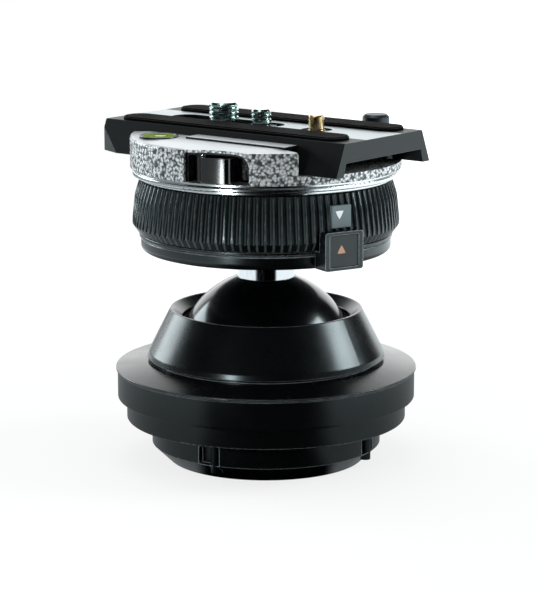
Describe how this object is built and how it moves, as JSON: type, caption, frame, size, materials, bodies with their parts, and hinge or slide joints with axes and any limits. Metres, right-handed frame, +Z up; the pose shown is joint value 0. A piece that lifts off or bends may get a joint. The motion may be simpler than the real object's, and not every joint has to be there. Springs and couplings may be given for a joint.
{
  "type": "ball head",
  "caption": "Camera ball head: stepped tripod base, cone over a big ball, ribbed locking collar, side lever clamp and long sliding camera plate.",
  "frame": {"origin": "centre of the bottom face that rests on the tripod side", "axes": "+Z up through the ball and neck, +X along the camera plate, -Y the side of the clamp lever and the spirit level"},
  "size_m": [0.0995, 0.098, 0.1153],
  "materials": {
    "black_anodised": "satin",
    "black_collar": "satin",
    "polished_steel": "polished",
    "cast_silver": "hammered",
    "bright_alloy": "brushed",
    "lever_black": "gloss",
    "black_plastic": "matte",
    "pad_rubber": "matte",
    "plated_screw": "polished",
    "brass_pin": "polished",
    "vial_green": "clear",
    "bearing_polymer": "matte",
    "spring_steel": "drawn",
    "black_screw": "black oxide"
  },
  "bodies": {
    "base": {"base_disc": "black_anodised", "spigot_dowels": "polished_steel", "flange_body": "black_anodised", "flange_screws": "black_screw", "cone_housing": "black_anodised", "upper_liner": "bearing_polymer", "rim_wiper": "pad_rubber", "lower_seat": "bearing_polymer", "seat_carrier": "black_anodised", "disc_springs": "spring_steel", "preload_ring": "bright_alloy", "base_cover": "black_anodised", "cover_screws": "black_screw"},
    "thrust_ball": {"thrust_ball": "polished_steel"},
    "thrust_cup": {"thrust_cup": "polished_steel"},
    "head": {"ball": "black_anodised", "cap_snap_ring": "spring_steel", "cap_springs": "spring_steel", "neck_stem": "polished_steel", "centre_sleeve": "bright_alloy", "collar_housing": "black_anodised", "slide_ring": "bearing_polymer", "thrust_washer": "bearing_polymer", "button_block": "black_anodised", "button_spring": "spring_steel", "block_screws": "black_screw", "clamp_body": "cast_silver", "stem_nut": "polished_steel", "lever_pivot": "polished_steel", "jaw_springs": "spring_steel", "level_cup": "black_anodised", "level_vial": "vial_green", "catch_cover": "bright_alloy", "catch_spring": "spring_steel"},
    "brake_cap": {"brake_cap": "bright_alloy"},
    "push_rod": {"push_rod": "polished_steel", "cross_pin": "polished_steel"},
    "collar": {"locking_collar": "black_collar", "collar_index": "black_plastic", "cam_ring": "polished_steel", "cam_screws": "black_screw"},
    "button": {"push_button": "black_plastic", "button_clip": "spring_steel"},
    "lever": {"clamp_lever": "lever_black"},
    "jaw": {"moving_jaw": "bright_alloy", "jaw_stud": "polished_steel"},
    "catch": {"release_catch": "bright_alloy"},
    "plate": {"quick_plate": "black_anodised", "grip_strip_front": "pad_rubber", "grip_strip_rear": "pad_rubber", "stop_screws": "black_screw", "pin_cup": "black_anodised", "pin_spring": "spring_steel"},
    "large_carriage": {"large_screw_washer": "bright_alloy"},
    "large_screw": {"camera_screw_large": "plated_screw"},
    "small_carriage": {"small_screw_bush": "black_anodised"},
    "small_screw": {"camera_screw_small": "plated_screw"},
    "pin": {"registration_pin": "brass_pin"}
  },
  "joints": [
    {"name": "tilt_side", "type": "hinge", "parent": "base", "child": "thrust_ball", "pos_m": [0, 0, 0.0325], "axis": [1, 0, 0], "range_deg": [-25, 25]},
    {"name": "tilt_front", "type": "hinge", "parent": "thrust_ball", "child": "thrust_cup", "pos_m": [0, 0, 0.0325], "axis": [0, 1, 0], "range_deg": [-25, 25]},
    {"name": "swivel", "type": "hinge", "parent": "thrust_cup", "child": "head", "pos_m": [0, 0, 0.0325], "axis": [0, 0, 1], "continuous": true},
    {"name": "collar_turn", "type": "hinge", "parent": "head", "child": "collar", "pos_m": [0, 0, 0.0837], "axis": [0, 0, 1], "range_deg": [-75, 0]},
    {"name": "rod_press", "type": "slide", "parent": "head", "child": "push_rod", "axis": [0, 0, -1], "range_m": [0, 0.00045]},
    {"name": "cap_press", "type": "slide", "parent": "head", "child": "brake_cap", "axis": [0, 0, -1], "range_m": [0, 0.00045], "deforming": ["cap_springs"]},
    {"name": "button_press", "type": "slide", "parent": "head", "child": "button", "axis": [-0.9379, 0.3469, 0], "range_m": [0, 0.0008], "stiffness_N_per_m": 300, "springref_m": -0.003, "deforming": ["button_spring"]},
    {"name": "lever_swing", "type": "hinge", "parent": "head", "child": "lever", "pos_m": [0.00629, -0.0388, 0.1003], "axis": [0, 0, 1], "range_deg": [-70, 0]},
    {"name": "jaw_slide", "type": "slide", "parent": "head", "child": "jaw", "axis": [0, -1, 0], "range_m": [0, 0.0012], "deforming": ["jaw_springs"]},
    {"name": "catch_press", "type": "slide", "parent": "head", "child": "catch", "axis": [0, 0, -1], "range_m": [0, 0.0017], "stiffness_N_per_m": 300, "springref_m": -0.003, "deforming": ["catch_spring"]},
    {"name": "plate_slide", "type": "slide", "parent": "head", "child": "plate", "axis": [1, 0, 0], "range_m": [-0.012, 0.012]},
    {"name": "large_screw_slide", "type": "slide", "parent": "plate", "child": "large_carriage", "axis": [1, 0, 0], "range_m": [-0.01, 0]},
    {"name": "large_screw_turn", "type": "hinge", "parent": "large_carriage", "child": "large_screw", "pos_m": [-0.0174, 0, 0.1], "axis": [0, 0, 1], "continuous": true},
    {"name": "small_screw_slide", "type": "slide", "parent": "plate", "child": "small_carriage", "axis": [1, 0, 0], "range_m": [0, 0.0025]},
    {"name": "small_screw_turn", "type": "hinge", "parent": "small_carriage", "child": "small_screw", "pos_m": [-0.0019, 0, 0.1], "axis": [0, 0, 1], "continuous": true},
    {"name": "pin_press", "type": "slide", "parent": "plate", "child": "pin", "axis": [0, 0, -1], "range_m": [0, 0.0038], "stiffness_N_per_m": 150, "springref_m": -0.003, "deforming": ["pin_spring"]}
  ],
  "couplings": [
    {"joint": "rod_press", "follows": "collar_turn", "m_per_rad": -0.00034377},
    {"joint": "cap_press", "follows": "collar_turn", "m_per_rad": -0.00034377},
    {"joint": "lever_swing", "follows": "jaw_slide", "rad_per_m": -1018.1}
  ]
}
